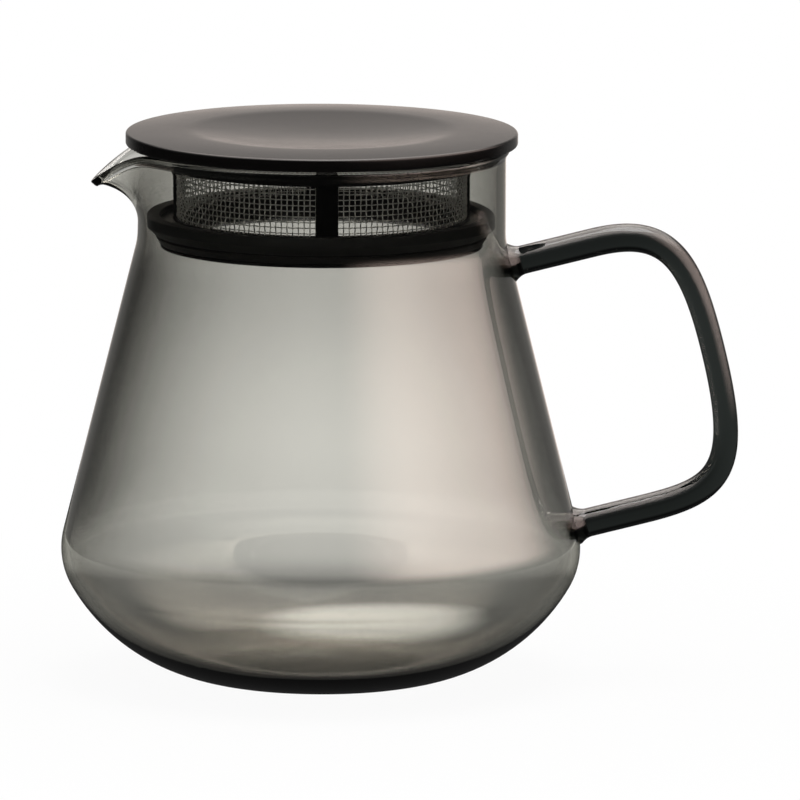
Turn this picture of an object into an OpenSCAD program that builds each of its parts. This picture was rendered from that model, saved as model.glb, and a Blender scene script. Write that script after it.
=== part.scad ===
/* [Glass vessel] */
// Largest outer radius, at the shoulder
body_r = 62.35; // [58:0.05:72]
// Outer radius of the straight neck
neck_r = 44.15; // [40:0.05:50]
// Height of the rim above the table
rim_z = 129.2; // [116:0.1:150]
// Height of the straight neck below the rim
neck_h = 22.6; // [20:0.1:30]
// Profile radius of the belly, from the flat base up
belly_r = 46; // [40:0.5:52]
// Angle that the belly arc turns through
belly_a = 60; // [52:1:66]
// Profile radius of the shoulder, where belly and cone meet
shoulder_r = 17.5; // [14:0.5:22]
// Profile radius between cone and neck
neck_fillet_r = 15; // [5:0.5:30]
// Glass thickness at the shoulder
wall = 2; // [1.5:0.1:3]
// Glass thickness at the neck
neck_wall = 2.2; // [1.6:0.1:3]
// Glass thickness at the base
base_t = 3.5; // [2.5:0.1:5]
// How far the rim bead stands out from the neck
bead_out = 0.8; // [0.3:0.05:1.2]

/* [Pouring lip] */
// How far the lip reaches beyond the neck
lip_reach = 10.85; // [8:0.05:14]
// How far the tip droops below the lip's root
lip_droop = 8; // [4:0.1:10]
// Depth of the lip's root below the rim
lip_depth = 16.9; // [14:0.1:20]
// Half the width of the lip's root, at the neck
lip_half_w = 10.6; // [8:0.1:14]
// Half the width of the rounded tip
lip_tip_half_w = 4; // [2.5:0.1:5]
// Glass thickness of the lip
lip_wall = 1.6; // [1.2:0.1:2]
// Drop from the top of the rim bead to the lip's edge
lip_edge_drop = 0.35; // [0.2:0.05:0.8]

/* [Handle] */
// Rod diameter of the two arms
arm_d = 6.9; // [5.5:0.1:9]
// Rod diameter of the grip, where the drawn glass is thinnest
grip_d = 5.8; // [5:0.1:8]
// Distance from the shoulder out to the middle of the grip
grip_out = 31.75; // [26:0.25:40]
// Lean of the grip from upright
grip_lean = 13.8; // [8:0.1:20]
// Straight length of the upper arm
upper_arm = 20.4; // [14:0.1:26]
// Straight length of the lower arm
lower_arm = 15.7; // [8:0.1:22]
// Drop from the foot of the neck to the upper root
upper_root_drop = 5.6; // [4:0.1:14]
// Rise from the foot of the cone to the lower root
lower_root_rise = 1.2; // [0.5:0.1:12]
// Extra radius of the weld collar at each root
collar_out = 1.3; // [0.5:0.1:2]
// Length over which the weld collar fades out
collar_len = 3; // [1.5:0.1:5]

/* [Lid] */
// How far the lid reaches out beyond the neck
lid_overhang = 2.85; // [2:0.05:8]
// Thickness of the lid, from seat to crest
lid_t = 3.6; // [3:0.1:5]
// Depth of the dish in the lid's top
dish_depth = 1.5; // [0.8:0.05:2]
// Width of the raised border round the dish
border_w = 13.5; // [10:0.25:16]
// Width of the brow that rounds the dish over into the border
brow_w = 3.5; // [2:0.25:6]
// Fall of the border from its crest to the lid's edge
border_fall = 0.45; // [0.2:0.05:0.8]
// Rounding of the lid's upper edge
top_round = 0.5; // [0.3:0.05:0.8]
// Rounding of the lid's lower edge
foot_round = 0.7; // [0.4:0.05:1]
// Gap between the lid's underside and what lies under it
seat_gap = 0.25; // [0.2:0.05:0.5]
// Length of the spigot under the lid
spigot_len = 3; // [2.8:0.1:3.2]
// Wall of the spigot
spigot_wall = 2.2; // [1.5:0.1:3]

/* [Strainer] */
// Height of the strainer frame
cage_h = 23.9; // [23:0.1:26]
// Wall of the strainer frame
cage_wall = 2.7; // [2.4:0.1:3.2]
// Width of the shelf between the cage wall and the seal
shelf_w = 3.14; // [2.5:0.02:4]
// Height of the shelf above the frame's bottom
shelf_h = 6.6; // [6:0.1:7]
// Thickness of the shelf's outer edge, above the seal groove
shelf_t = 1.5; // [1.2:0.1:1.8]
// Depth of the seal groove
groove_d = 1.4; // [1:0.1:1.8]
// Thickness of the ring under the seal groove
foot_t = 1; // [0.8:0.1:1.4]
// Bevel of the frame's bottom edge
foot_bevel = 0.5; // [0.3:0.05:0.7]
// Height of the windows
window_h = 12.05; // [10:0.05:12.4]
// Height of the window sills above the shelf
sill_h = 0.5; // [0.4:0.05:1]
// Width of the posts between the windows
post_w = 5.3; // [4:0.1:8]
// Turn of the posts away from the handle and the lip
post_turn = 2.3; // [-5:0.1:5]

/* [Mesh] */
// Depth of the mesh behind the face of the frame
mesh_inset = 0.9; // [0.8:0.05:1.1]
// Thickness of the woven mesh
mesh_t = 0.3; // [0.2:0.05:0.4]
// Width of the strands between the openings
strand_w = 0.45; // [0.3:0.05:0.8]
// Openings along each panel
mesh_columns = 18; // [8:1:18]
// Openings up each panel
mesh_rows = 4; // [2:1:4]
// How far a panel reaches into the frame on each side
mesh_hold = 0.7; // [0.5:0.05:0.9]
// Clearance round a panel in its slot
mesh_gap = 0.05; // [0.03:0.01:0.1]

/* [Seal ring] */
// Clearance between the upper lip and the neck
seal_gap = 0.31; // [0.25:0.01:0.6]
// Reach of the upper lip beyond the shelf
seal_reach = 3; // [2.4:0.1:3.6]
// How far the upper lip stands above the shelf
seal_rise = 1.2; // [0.6:0.1:1.6]
// Height of the upper lip's upright face
seal_face = 2.5; // [1.6:0.1:2.8]
// Reach of the lower lip beyond the shelf
lower_lip_reach = 1.2; // [0.8:0.1:1.8]
// Height of the lower lip
lower_lip_h = 1.8; // [1.4:0.1:2]
// Depth of the notch between the two lips
notch_d = 0.6; // [0.3:0.05:0.8]
// Height of the notch
notch_h = 0.4; // [0.3:0.05:0.6]
// Clearance between the seal ring and its groove
seat_clear = 0.05; // [0.03:0.01:0.1]

/* [Twist lock] */
// Clearance between the spigot and the frame
twist_gap = 0.1; // [0.06:0.01:0.15]
// Clearance round a lug in its groove
lug_gap = 0.2; // [0.15:0.05:0.25]
// How far a lug stands out of the spigot
lug_out = 0.9; // [0.7:0.05:1]
// Height of a lug
lug_h = 1.1; // [0.8:0.1:1.2]
// Length of a lug round the spigot
lug_len = 7; // [5:0.5:10]
// Number of lugs
lugs = 3; // [2:1:4]
// Angle from locked to free
twist_a = 30; // [20:1:40]

/* [Hidden] */
$fn = 96;

// Overrun of every cut past the faces that it opens
overrun = 1;
// Colours
smoke_glass = [0.35, 0.36, 0.34, 0.55];
black_plastic = [0.08, 0.08, 0.08];
steel = [0.72, 0.72, 0.7];
black_silicone = [0.12, 0.12, 0.12];

// Vessel profile: belly and shoulder arcs, then the cone tangent to the shoulder, then the neck.
// The shoulder's circle is larger by a hair than the one that touches them, so that it crosses both
hair = 0.01;
rise = belly_r - shoulder_r;
shoulder_c = [body_r - shoulder_r - hair, belly_r - rise * cos(belly_a)];
belly_c = [shoulder_c.x - rise * sin(belly_a), belly_r];
belly_end = belly_c + belly_r * turn_to(belly_a - 90);
neck_z = rim_z - neck_h;
bore_r = neck_r - neck_wall;
cone_a = tangent_angle(shoulder_c, shoulder_r, [neck_r, neck_z]);
cone_foot = shoulder_c + shoulder_r * turn_to(cone_a);

// Cavity profile: its own arcs, so that the glass thickens from the shoulder down to the base
hollow_shoulder_r = shoulder_r - wall;
hollow_belly_r = (shoulder_c.y - hollow_shoulder_r * cos(belly_a) - base_t) / (1 - cos(belly_a));
hollow_belly_c = shoulder_c + (hollow_belly_r - hollow_shoulder_r) * turn_to(belly_a + 90);
hollow_belly_end = hollow_belly_c + hollow_belly_r * turn_to(belly_a - 90);
hollow_cone_a = tangent_angle(shoulder_c, hollow_shoulder_r, [bore_r, neck_z]);
hollow_cone_foot = shoulder_c + hollow_shoulder_r * turn_to(hollow_cone_a);

// Rim bead, a torus that stands out from the neck and is flush with the bore
bead_r = (neck_wall + bead_out) / 2;
bead_c = [bore_r + bead_r, rim_z - bead_r];

// Pouring lip: steps along it, points round its trough, and the exponents of its curves
lip_steps = 14;
lip_points = 12;
lip_droop_power = 1.5;
lip_floor_power = 0.36;
lip_tip_power = 4;
// How far the lip's root is drawn back into the glass, and its channel into the neck, as shares of its reach
lip_root_share = 0.1;
channel_root_share = 0.66;

// Handle: two straight arms square to the cone, joined by two eased bends that meet at the grip
arm_dir = turn_to(cone_a);
upper_root = cone_point(neck_z - upper_root_drop);
lower_root = cone_point(cone_foot.y + lower_root_rise);
// Height of the middle of the grip between the roots, and how far each bend's handles reach to its corner
grip_height_share = 0.663;
upper_bend_shares = [0.85, 0.71];
lower_bend_shares = [0.74, 0.93];
grip_mid = [body_r + grip_out, lower_root.y + grip_height_share * (upper_root.y - lower_root.y)];
grip_dir = turn_to(grip_lean - 90);
upper_bend = upper_root + upper_arm * arm_dir;
lower_bend = lower_root + lower_arm * arm_dir;
upper_corner = meeting_point(upper_bend, arm_dir, grip_mid, grip_dir);
lower_corner = meeting_point(lower_bend, arm_dir, grip_mid, grip_dir);
bend_steps = 13;
collar_steps = 4;
rod_sides = 16;
// Hair's breadth by which the flat facets of each weld clear the round glass
weld_gap = 0.02;

// Lid
lid_r = neck_r + lid_overhang;
lid_z = rim_z + seat_gap;
crest_z = lid_z + lid_t;
border_r = lid_r - border_w;
dish_r = border_r - brow_w;
brow_h = dish_depth * brow_w / border_r;
dish_steps = 20;
brow_steps = 6;
border_steps = 6;

// Strainer: each radius follows from the neck's bore
cage_top = lid_z - seat_gap;
cage_z = cage_top - cage_h;
seal_r = bore_r - seal_gap;
shelf_r = seal_r - seal_reach;
shelf_z = cage_z + shelf_h;
groove_r = shelf_r - groove_d;
groove_z = cage_z + foot_t;
groove_top = shelf_z - shelf_t;
cage_r = shelf_r - shelf_w;
cage_in_r = cage_r - cage_wall;
window_z = shelf_z + sill_h;
windows = 4;
window_pitch = 360 / windows;
post_a = 2 * asin(post_w / 2 / cage_r);
window_a = window_pitch - post_a;

// Mesh
mesh_r = cage_r - mesh_inset;
mesh_hold_a = degrees_along(mesh_hold, mesh_r);
mesh_gap_a = degrees_along(mesh_gap, mesh_r);
column_a = window_a / mesh_columns;
row_h = window_h / mesh_rows;

// Twist lock
spigot_r = cage_in_r - twist_gap;
lug_z = lid_z - spigot_len;
lug_a = degrees_along(lug_len, spigot_r);
lug_gap_a = degrees_along(lug_gap, spigot_r);
lug_pitch = 360 / lugs;

// Unit vector at an angle from the outward direction
function turn_to(a) = [cos(a), sin(a)];

// Angle that a length subtends at a radius
function degrees_along(length, r) = length / r * 180 / PI;

// Angle of the point where the line from p touches the outer side of a circle
function tangent_angle(c, r, p) = atan2(p.y - c.y, p.x - c.x) - acos(r / norm(p - c));

// Point of the cone's outer line at a height
function cone_point(z) = [cone_foot.x - (z - cone_foot.y) * tan(cone_a), z];

// Point where the line through p along u meets the line through q along v
function meeting_point(p, u, q, v) = p + u * cross(q - p, v) / cross(u, v);

// Point and heading on an eased bend with four control points
function bend_point(b, t) =
    pow(1 - t, 3) * b[0] + 3 * pow(1 - t, 2) * t * b[1] + 3 * (1 - t) * t * t * b[2] + pow(t, 3) * b[3];
function bend_heading(b, t) =
    pow(1 - t, 2) * (b[1] - b[0]) + 2 * (1 - t) * t * (b[2] - b[1]) + t * t * (b[3] - b[2]);
function bend(start, corner, end, shares) =
    [start, start + shares[0] * (corner - start), end + shares[1] * (corner - end), end];

// Sector of a disc between two angles
module pie(c, r, from, to) {
    intersection() {
        translate(c)
            circle(r);
        polygon([c, c + 2 * r * turn_to(from), c + 2 * r * turn_to(to)]);
    }
}

// Filling of the inward corner between the cone and the neck
module neck_fillet(corner, cone_angle, r) {
    run = r * tan(cone_angle / 2);
    below = corner - run * turn_to(cone_angle + 90);
    above = corner + [0, run];
    difference() {
        polygon([corner, below, above]);
        translate(above + [r, 0])
            circle(r);
    }
}

// Half section of the vessel as if it were solid, up to the middle of the rim bead
module outer_half() {
    polygon([
        [0, 0], [belly_c.x, 0], belly_end, cone_foot,
        [neck_r, neck_z], [neck_r, bead_c.y], [0, bead_c.y]
    ]);
    pie(belly_c, belly_r, -90, belly_a - 90);
    translate(shoulder_c)
        circle(shoulder_r + hair);
    neck_fillet([neck_r, neck_z], cone_a, neck_fillet_r);
}

// Half section of the space inside
module hollow_half() {
    polygon([
        [0, base_t], [hollow_belly_c.x, base_t], hollow_belly_end, hollow_cone_foot,
        [bore_r, neck_z], [bore_r, bead_c.y], [0, bead_c.y]
    ]);
    pie(hollow_belly_c, hollow_belly_r, -90, belly_a - 90);
    translate(shoulder_c)
        circle(hollow_shoulder_r + hair);
    neck_fillet([bore_r, neck_z], hollow_cone_a, neck_fillet_r);
}

// Closed solid through rings of equally many points, with a point in the middle of each end
module loft(rings, first_middle, last_middle) {
    n = len(rings[0]);
    count = len(rings);
    points = concat([for (ring = rings) each ring], [first_middle, last_middle]);
    sides = [
        for (i = [0 : count - 2], j = [0 : n - 1])
            let (k = (j + 1) % n, a = i * n + j, b = i * n + k)
            each [[a, a + n, b + n], [a, b + n, b]]
    ];
    first_end = [for (j = [0 : n - 1]) [j, (j + 1) % n, count * n]];
    last_end = [
        for (j = [0 : n - 1])
            [(count - 1) * n + (j + 1) % n, (count - 1) * n + j, count * n + 1]
    ];
    polyhedron(points, concat(sides, first_end, last_end));
}

// The lip's half width, the droop of its edge and the depth of its floor at a share of its reach
function lip_half(t, tip_half) =
    (lip_half_w - lip_tip_half_w) * (1 - t)
    + tip_half * sqrt(1 - pow(max(0, t), lip_tip_power));
function lip_fall(t) = lip_droop * pow(max(0, t), lip_droop_power);
function lip_floor(t) =
    lip_depth - (lip_depth - lip_droop - lip_wall) * pow(max(0, t), lip_floor_power);

// Share of the lip's reach at a step: close steps at both ends, where the curves are tight
function lip_share(i) = (1 - cos(180 * i / lip_steps)) / 2;

// Section of the lip, an oval trough
function lip_ring(x, half, top, floor) = [
    for (j = [0 : lip_points])
        let (a = 90 - 180 * j / lip_points)
        [x, half * sin(a), top - (top - floor) * cos(a)]
];

// Root of the lip, bent round to lie inside the glass of the neck
function on_neck(ring, r) = [for (p = ring) [-sqrt(r * r - p.y * p.y), p.y, p.z]];

// Outside of the lip
module lip_body() {
    root_r = neck_r - neck_wall / 2;
    edge_z = rim_z - lip_edge_drop;
    root_half = lip_half(-lip_root_share, lip_tip_half_w);
    root = on_neck(lip_ring(0, root_half, edge_z, rim_z - lip_depth), root_r);
    rings = [
        for (i = [0 : lip_steps - 1])
            let (t = lip_share(i), half = lip_half(t, lip_tip_half_w))
            lip_ring(-neck_r - lip_reach * t, half, edge_z - lip_fall(t), rim_z - lip_floor(t))
    ];
    tip_z = edge_z - lip_fall(1) - lip_wall / 2;
    loft(concat([root], rings), [-root_r, 0, rim_z - lip_depth / 2], [-neck_r - lip_reach, 0, tip_z]);
}

// Inside of the lip, open at the top and into the neck
module lip_channel() {
    reach = lip_reach - lip_wall / 2;
    top_z = rim_z + overrun;
    shares = concat([-channel_root_share], [for (i = [0 : lip_steps - 1]) lip_share(i)]);
    rings = [
        for (t = shares)
            let (
                half = lip_half(t, lip_tip_half_w - lip_wall),
                x = -neck_r - reach * t,
                edge_z = rim_z - lip_edge_drop - lip_fall(t),
                floor_z = rim_z - lip_floor(t) + lip_wall
            )
            concat([[x, half, top_z]], lip_ring(x, half, edge_z + lip_wall, floor_z), [[x, -half, top_z]])
    ];
    first = rings[0][0];
    last = rings[len(rings) - 1][0];
    loft(rings, [first.x, 0, rim_z - lip_depth / 2], [last.x, 0, rim_z]);
}

// Smoke-grey blown glass body
module glass_vessel() {
    color(smoke_glass)
        difference() {
            union() {
                rotate_extrude() {
                    difference() {
                        outer_half();
                        hollow_half();
                    }
                    translate(bead_c)
                        circle(bead_r);
                }
                lip_body();
            }
            lip_channel();
        }
}

// Radius of the rod: thinnest at the grip, full at the arms, flared at the welds
function rod_radius(along, from_root) =
    grip_d / 2
    + (arm_d - grip_d) / 2 * (1 - cos(180 * along)) / 2
    + collar_out * pow(max(0, 1 - max(0, from_root) / collar_len), 2);

// Ring of the rod round a point of its centreline
function rod_ring(p, heading, r) =
    let (side = [heading.y, -heading.x] / norm(heading))
    [
        for (j = [0 : rod_sides - 1])
            let (a = 360 * j / rod_sides)
            [p.x + r * cos(a) * side.x, r * sin(a), p.y + r * cos(a) * side.y]
    ];

// Radius of the vessel's outside at a height, on the cone or on the shoulder under it
function outside_r(z) =
    z > cone_foot.y
        ? cone_point(z).x
        : shoulder_c.x + sqrt(pow(shoulder_r + hair, 2) - pow(z - shoulder_c.y, 2));

// Same ring, laid on the outside of the vessel
function laid_on(ring) = [
    for (p = ring)
        [sqrt(pow(outside_r(p.z) + weld_gap, 2) - p.y * p.y), p.y, p.z]
];

// Rings of one arm: half way in and at the edge of the weld, then along the collar to the bend
function arm_rings(root) =
    let (weld_r = rod_radius(1, 0))
    concat(
        [for (r = [weld_r / 2, weld_r]) laid_on(rod_ring(root, arm_dir, r))],
        [
            for (i = [1 : collar_steps])
                let (d = collar_len * i / collar_steps)
                rod_ring(root + d * arm_dir, arm_dir, rod_radius(1, d))
        ]
    );

// Rings of one bend, from its arm to the middle of the grip
function bend_rings(b) = [
    for (i = [0 : bend_steps])
        let (t = i / bend_steps)
        rod_ring(bend_point(b, t), bend_heading(b, t), rod_radius(1 - t, collar_len))
];

// Bent glass rod, welded to the cone at both ends
module glass_handle() {
    upper = bend(upper_bend, upper_corner, grip_mid, upper_bend_shares);
    lower = bend(lower_bend, lower_corner, grip_mid, lower_bend_shares);
    upper_half = concat(arm_rings(upper_root), bend_rings(upper));
    lower_half = [for (ring = concat(arm_rings(lower_root), bend_rings(lower))) turned_over(ring)];
    rings = concat(upper_half, [for (i = [len(lower_half) - 2 : -1 : 0]) lower_half[i]]);
    upper_end = upper_root.x + weld_gap;
    lower_end = lower_root.x + weld_gap;
    color(smoke_glass)
        loft(rings, [upper_end, 0, upper_root.y], [lower_end, 0, lower_root.y]);
}

// Same ring, numbered from its other side, for the half of the rod that runs the other way
function turned_over(ring) =
    let (n = len(ring))
    [for (j = [0 : n - 1]) ring[(n + n / 2 - j) % n]];

// Black plastic lid with its dished top, spigot and lugs
module lid_cover() {
    bowl = [
        for (i = [0 : dish_steps])
            let (t = i / dish_steps)
            [dish_r * t, crest_z - dish_depth + (dish_depth - brow_h) * t * t]
    ];
    brow = [
        for (i = [1 : brow_steps])
            let (t = i / brow_steps)
            [dish_r + brow_w * t, crest_z - brow_h * pow(1 - t, 2)]
    ];
    border = [
        for (i = [1 : border_steps])
            let (t = i / border_steps)
            [border_r + (border_w - top_round) * t, crest_z - border_fall * t * t]
    ];
    edge_z = crest_z - border_fall - top_round;
    color(black_plastic) {
        rotate_extrude() {
            polygon(concat(
                bowl, brow, border,
                [[lid_r, edge_z], [lid_r, lid_z + foot_round], [lid_r - foot_round, lid_z], [0, lid_z]]
            ));
            pie([lid_r - top_round, edge_z], top_round, 0, 90);
            pie([lid_r - foot_round, lid_z + foot_round], foot_round, -90, 0);
            translate([spigot_r - spigot_wall, lug_z])
                square([spigot_wall, spigot_len + (lid_t - dish_depth) / 2]);
        }
        for (i = [0 : lugs - 1])
            rotate(lug_pitch * i - lug_a / 2)
                rotate_extrude(angle = lug_a)
                    translate([spigot_r - spigot_wall / 2, lug_z])
                        square([spigot_wall / 2 + lug_out, lug_h]);
    }
}

// Ring of rectangular section between two angles
module arc_bar(r, z, size, from, angle) {
    rotate(from)
        rotate_extrude(angle = angle)
            translate([r, z])
                square(size);
}

// Angle at which a window starts, counted from the front one on the handle's side
function window_start(i) = post_turn - 90 + post_a / 2 + window_pitch * i;

// Black plastic cage with windows, mesh slots, seal groove and lug grooves
module strainer_frame() {
    slot_r = mesh_r - mesh_t / 2 - mesh_gap;
    slot_z = window_z - mesh_hold - mesh_gap;
    slot_size = [mesh_t + 2 * mesh_gap, window_h + 2 * (mesh_hold + mesh_gap)];
    slot_a = window_a + 2 * (mesh_hold_a + mesh_gap_a);
    window_size = [cage_wall + 2 * overrun, window_h];
    lug_groove = [twist_gap + lug_out + lug_gap + overrun, lug_h + 2 * lug_gap];
    lug_entry = [lug_groove.x, cage_top - lug_z + lug_gap + overrun];
    color(black_plastic)
        difference() {
            rotate_extrude()
                polygon([
                    [cage_in_r, cage_z], [shelf_r - foot_bevel, cage_z], [shelf_r, cage_z + foot_bevel],
                    [shelf_r, groove_z], [groove_r, groove_z], [groove_r, groove_top],
                    [shelf_r, groove_top], [shelf_r, shelf_z], [cage_r, shelf_z],
                    [cage_r, cage_top], [cage_in_r, cage_top]
                ]);
            for (i = [0 : windows - 1]) {
                arc_bar(cage_in_r - overrun, window_z, window_size, window_start(i), window_a);
                arc_bar(slot_r, slot_z, slot_size, window_start(i) - mesh_hold_a - mesh_gap_a, slot_a);
            }
            for (i = [0 : lugs - 1]) {
                from = lug_pitch * i - lug_a / 2 - lug_gap_a - twist_a;
                width = lug_a + 2 * lug_gap_a;
                arc_bar(cage_in_r - overrun, lug_z - lug_gap, lug_groove, from, width + twist_a);
                arc_bar(cage_in_r - overrun, lug_z - lug_gap, lug_entry, from, width);
            }
        }
}

// Woven steel mesh of one window
module mesh_panel(i) {
    hole_a = column_a - degrees_along(strand_w, mesh_r);
    hole_h = row_h - strand_w;
    color(steel)
        difference() {
            arc_bar(
                mesh_r - mesh_t / 2, window_z - mesh_hold, [mesh_t, window_h + 2 * mesh_hold],
                window_start(i) - mesh_hold_a, window_a + 2 * mesh_hold_a
            );
            for (c = [0 : mesh_columns - 1], r = [0 : mesh_rows - 1])
                arc_bar(
                    mesh_r - mesh_t / 2 - overrun, window_z + row_h * r + strand_w / 2,
                    [mesh_t + 2 * overrun, hole_h],
                    window_start(i) + column_a * (c + 1 / 2) - hole_a / 2, hole_a
                );
        }
}

module mesh_front_handle_side() mesh_panel(0);
module mesh_back_handle_side() mesh_panel(1);
module mesh_back_spout_side() mesh_panel(2);
module mesh_front_spout_side() mesh_panel(3);

// Silicone ring with two lips, in the groove of the frame
module seal_ring() {
    hold_r = groove_r + seat_clear;
    edge_r = shelf_r + seat_clear;
    bottom = groove_z + seat_clear;
    top = shelf_z + seal_rise;
    lower_top = bottom + lower_lip_h;
    lower_r = shelf_r + lower_lip_reach;
    color(black_silicone)
        rotate_extrude()
            polygon([
                [hold_r, bottom], [edge_r, bottom], [lower_r, lower_top],
                [lower_r - notch_d, lower_top], [lower_r - notch_d, lower_top + notch_h],
                [lower_r, lower_top + notch_h],
                [seal_r, top - seal_face], [seal_r, top], [edge_r, top],
                [edge_r, groove_top - seat_clear], [hold_r, groove_top - seat_clear]
            ]);
}

glass_vessel();
glass_handle();
lid_cover();
strainer_frame();
mesh_front_handle_side();
mesh_back_handle_side();
mesh_back_spout_side();
mesh_front_spout_side();
seal_ring();
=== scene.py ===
"""Looks of a smoke-grey glass coffee server with a plastic lid and a woven mesh strainer.

Every size is in metres, in the frame of the packed model: the base stands on Z = 0, the round vessel turns
about the Z axis, the handle points along +X and the pouring lip along -X.
"""

import math

import bmesh
import bpy
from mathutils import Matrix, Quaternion, Vector


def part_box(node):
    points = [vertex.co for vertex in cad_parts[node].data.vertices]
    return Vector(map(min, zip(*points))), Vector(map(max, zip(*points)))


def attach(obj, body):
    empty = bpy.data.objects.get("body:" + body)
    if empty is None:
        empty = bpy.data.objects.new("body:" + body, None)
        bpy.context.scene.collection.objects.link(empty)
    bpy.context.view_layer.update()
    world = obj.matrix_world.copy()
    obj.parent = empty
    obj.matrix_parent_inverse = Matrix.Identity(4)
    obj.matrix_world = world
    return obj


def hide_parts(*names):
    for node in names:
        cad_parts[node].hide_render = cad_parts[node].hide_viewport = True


bl_info = {
    "name": "Coffee server carafe",
    "version": (1, 0, 0),
    "blender": (4, 5, 0),
    "location": "3D View > Sidebar > Carafe",
    "description": "Builds a smoke-grey glass coffee server with its lid, strainer and studio",
    "category": "Object",
}

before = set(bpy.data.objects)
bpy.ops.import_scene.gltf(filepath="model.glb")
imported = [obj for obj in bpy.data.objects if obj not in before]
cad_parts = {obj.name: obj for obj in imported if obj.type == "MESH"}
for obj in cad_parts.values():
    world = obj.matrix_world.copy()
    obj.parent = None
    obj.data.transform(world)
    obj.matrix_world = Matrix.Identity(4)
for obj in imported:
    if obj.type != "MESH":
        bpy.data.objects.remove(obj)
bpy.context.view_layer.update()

MM = 0.001
VESSEL_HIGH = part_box("glass_vessel")[1]
LID_LOW, LID_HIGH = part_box("lid_cover")
CAGE_LOW, CAGE_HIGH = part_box("strainer_frame")
SEAL_LOW, SEAL_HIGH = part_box("seal_ring")

FULL_TURN = 2 * math.pi
WHITE = (1, 1, 1, 1)

# Steps along each stretch of the vessel's half section
BASE_STEPS, BELLY_STEPS, SHOULDER_STEPS, CONE_STEPS = 6, 26, 20, 16
THROAT_STEPS, NECK_STEPS, FLARE_STEPS, RIM_STEPS = 8, 40, 10, 7
# Columns on each side of the lip's middle, and round the rest of the vessel
LIP_COLUMNS, BODY_COLUMNS = 80, 130
# Columns round the lid, the seal and the table top, and in each window and post of the cage
LID_COLUMNS, SEAL_COLUMNS, TABLE_COLUMNS, WINDOW_COLUMNS, POST_COLUMNS = 192, 160, 96, 40, 5
# Steps over the lid's dish, brow, border, upper edge, side and lower edge
DISH_STEPS, BROW_STEPS, BORDER_STEPS, EDGE_STEPS, SIDE_STEPS, FOOT_STEPS = 30, 12, 16, 6, 3, 8
# Points round the rod and each wire, rings in a collar and in a bend, steps of wire between crossings
ROD_POINTS, WIRE_POINTS, COLLAR_RINGS, BEND_RINGS, WEAVE_STEPS = 40, 6, 10, 48, 4
# Steps in which the lip's bend is summed up, and the steps sideways and upward that give its wall's slope
LIP_STEP, SLOPE_SIDE, SLOPE_RISE = 0.25 * MM, 0.004, 0.3 * MM
# Air between the handle's ends and the vessel, and the half angle of the step at a lug's end
WELD_GAP, LUG_STEP = 0.02 * MM, 0.0005


def linear(code):
    """Linear red, green and blue of an sRGB hex colour."""
    shares = [int(code[i : i + 2], 16) / 255 for i in (1, 3, 5)]
    return tuple(s / 12.92 if s <= 0.04045 else ((s + 0.055) / 1.055) ** 2.4 for s in shares)


def length(name, description, default):
    """A size that the sidebar shows in the scene's unit of length."""
    return bpy.props.FloatProperty(
        name=name, description=description, default=default, unit="LENGTH", precision=5
    )


def angle(name, description, degrees):
    """An angle that the sidebar shows in degrees."""
    return bpy.props.FloatProperty(
        name=name, description=description, default=math.radians(degrees), subtype="ANGLE", unit="ROTATION"
    )


def share(name, description, default):
    """A plain number from 0 to 1."""
    return bpy.props.FloatProperty(
        name=name, description=description, default=default, min=0.0, max=1.0, subtype="FACTOR"
    )


def number(name, description, default):
    """A plain number of 0 or more."""
    return bpy.props.FloatProperty(name=name, description=description, default=default, min=0.0)


def place_at(name, description, default):
    """A point in the scene."""
    return bpy.props.FloatVectorProperty(
        name=name, description=description, default=default, size=3, subtype="TRANSLATION", unit="LENGTH"
    )


def count(name, description, default):
    """A whole number of like things."""
    return bpy.props.IntProperty(name=name, description=description, default=default, min=1)


def colour(name, description, code):
    """A colour, given as an sRGB hex value."""
    return bpy.props.FloatVectorProperty(
        name=name, description=description, default=linear(code), size=3, min=0.0, max=1.0, subtype="COLOR"
    )


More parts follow.
